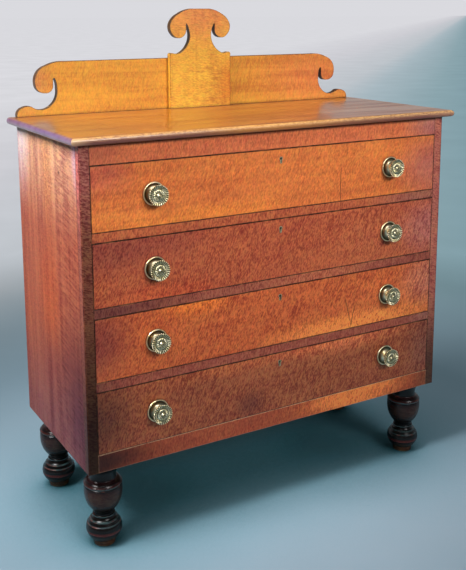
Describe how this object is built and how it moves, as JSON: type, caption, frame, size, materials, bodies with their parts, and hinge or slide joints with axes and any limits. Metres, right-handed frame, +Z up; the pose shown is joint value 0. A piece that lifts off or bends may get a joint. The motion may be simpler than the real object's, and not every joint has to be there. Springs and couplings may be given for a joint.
{
  "type": "chest of drawers",
  "caption": "Country chest of full-width drawers on turned feet, with brass rosette knobs and a scrolled gallery along the back of its top.",
  "frame": {"origin": "on the floor, under the middle of the whole chest, with its knobs and top board counted", "axes": "+X to the right as one faces the drawers, +Y towards the back, +Z up"},
  "size_m": [1.113, 0.489, 1.294],
  "materials": {
    "honey_wood": "figured maple under old varnish, honey coloured",
    "case_wood": "figured maple under old varnish, red brown",
    "front_wood": "figured maple under old varnish, red brown",
    "foot_wood": "dark stained maple, glossy",
    "pine": "bare aged pine",
    "brass": "stamped brass, aged",
    "iron": "wrought iron, dark"
  },
  "bodies": {
    "case": {"top_board": "honey_wood", "left_side": "case_wood", "right_side": "case_wood", "left_stile": "case_wood", "right_stile": "case_wood", "top_rail": "case_wood", "upper_divider": "case_wood", "middle_divider": "case_wood", "lower_divider": "case_wood", "bottom_rail": "case_wood", "back_rail": "pine", "back_boards": "pine", "drawer_runners": "pine", "drawer_guides": "pine", "drawer_kickers": "pine", "drawer_stops": "pine", "foot_blocks": "pine", "front_left_foot": "foot_wood", "front_right_foot": "foot_wood", "back_left_foot": "foot_wood", "back_right_foot": "foot_wood", "gallery_board": "honey_wood", "gallery_plaque": "honey_wood", "gallery_dowels": "pine"},
    "top_drawer": {"top_drawer_front": "front_wood", "top_drawer_left_side": "pine", "top_drawer_right_side": "pine", "top_drawer_back": "pine", "top_drawer_bottom": "pine", "top_drawer_knobs": "brass", "top_drawer_knob_plates": "brass", "top_drawer_lock": "iron", "top_drawer_escutcheon": "brass"},
    "second_drawer": {"second_drawer_front": "front_wood", "second_drawer_left_side": "pine", "second_drawer_right_side": "pine", "second_drawer_back": "pine", "second_drawer_bottom": "pine", "second_drawer_knobs": "brass", "second_drawer_knob_plates": "brass", "second_drawer_lock": "iron", "second_drawer_escutcheon": "brass"},
    "third_drawer": {"third_drawer_front": "front_wood", "third_drawer_left_side": "pine", "third_drawer_right_side": "pine", "third_drawer_back": "pine", "third_drawer_bottom": "pine", "third_drawer_knobs": "brass", "third_drawer_knob_plates": "brass", "third_drawer_lock": "iron", "third_drawer_escutcheon": "brass"},
    "bottom_drawer": {"bottom_drawer_front": "front_wood", "bottom_drawer_left_side": "pine", "bottom_drawer_right_side": "pine", "bottom_drawer_back": "pine", "bottom_drawer_bottom": "pine", "bottom_drawer_knobs": "brass", "bottom_drawer_knob_plates": "brass", "bottom_drawer_lock": "iron", "bottom_drawer_escutcheon": "brass"}
  },
  "joints": [
    {"name": "top_drawer_slide", "type": "slide", "parent": "case", "child": "top_drawer", "axis": [0, -1, 0], "range_m": [0, 0.3]},
    {"name": "second_drawer_slide", "type": "slide", "parent": "case", "child": "second_drawer", "axis": [0, -1, 0], "range_m": [0, 0.3]},
    {"name": "third_drawer_slide", "type": "slide", "parent": "case", "child": "third_drawer", "axis": [0, -1, 0], "range_m": [0, 0.3]},
    {"name": "bottom_drawer_slide", "type": "slide", "parent": "case", "child": "bottom_drawer", "axis": [0, -1, 0], "range_m": [0, 0.3]}
  ]
}
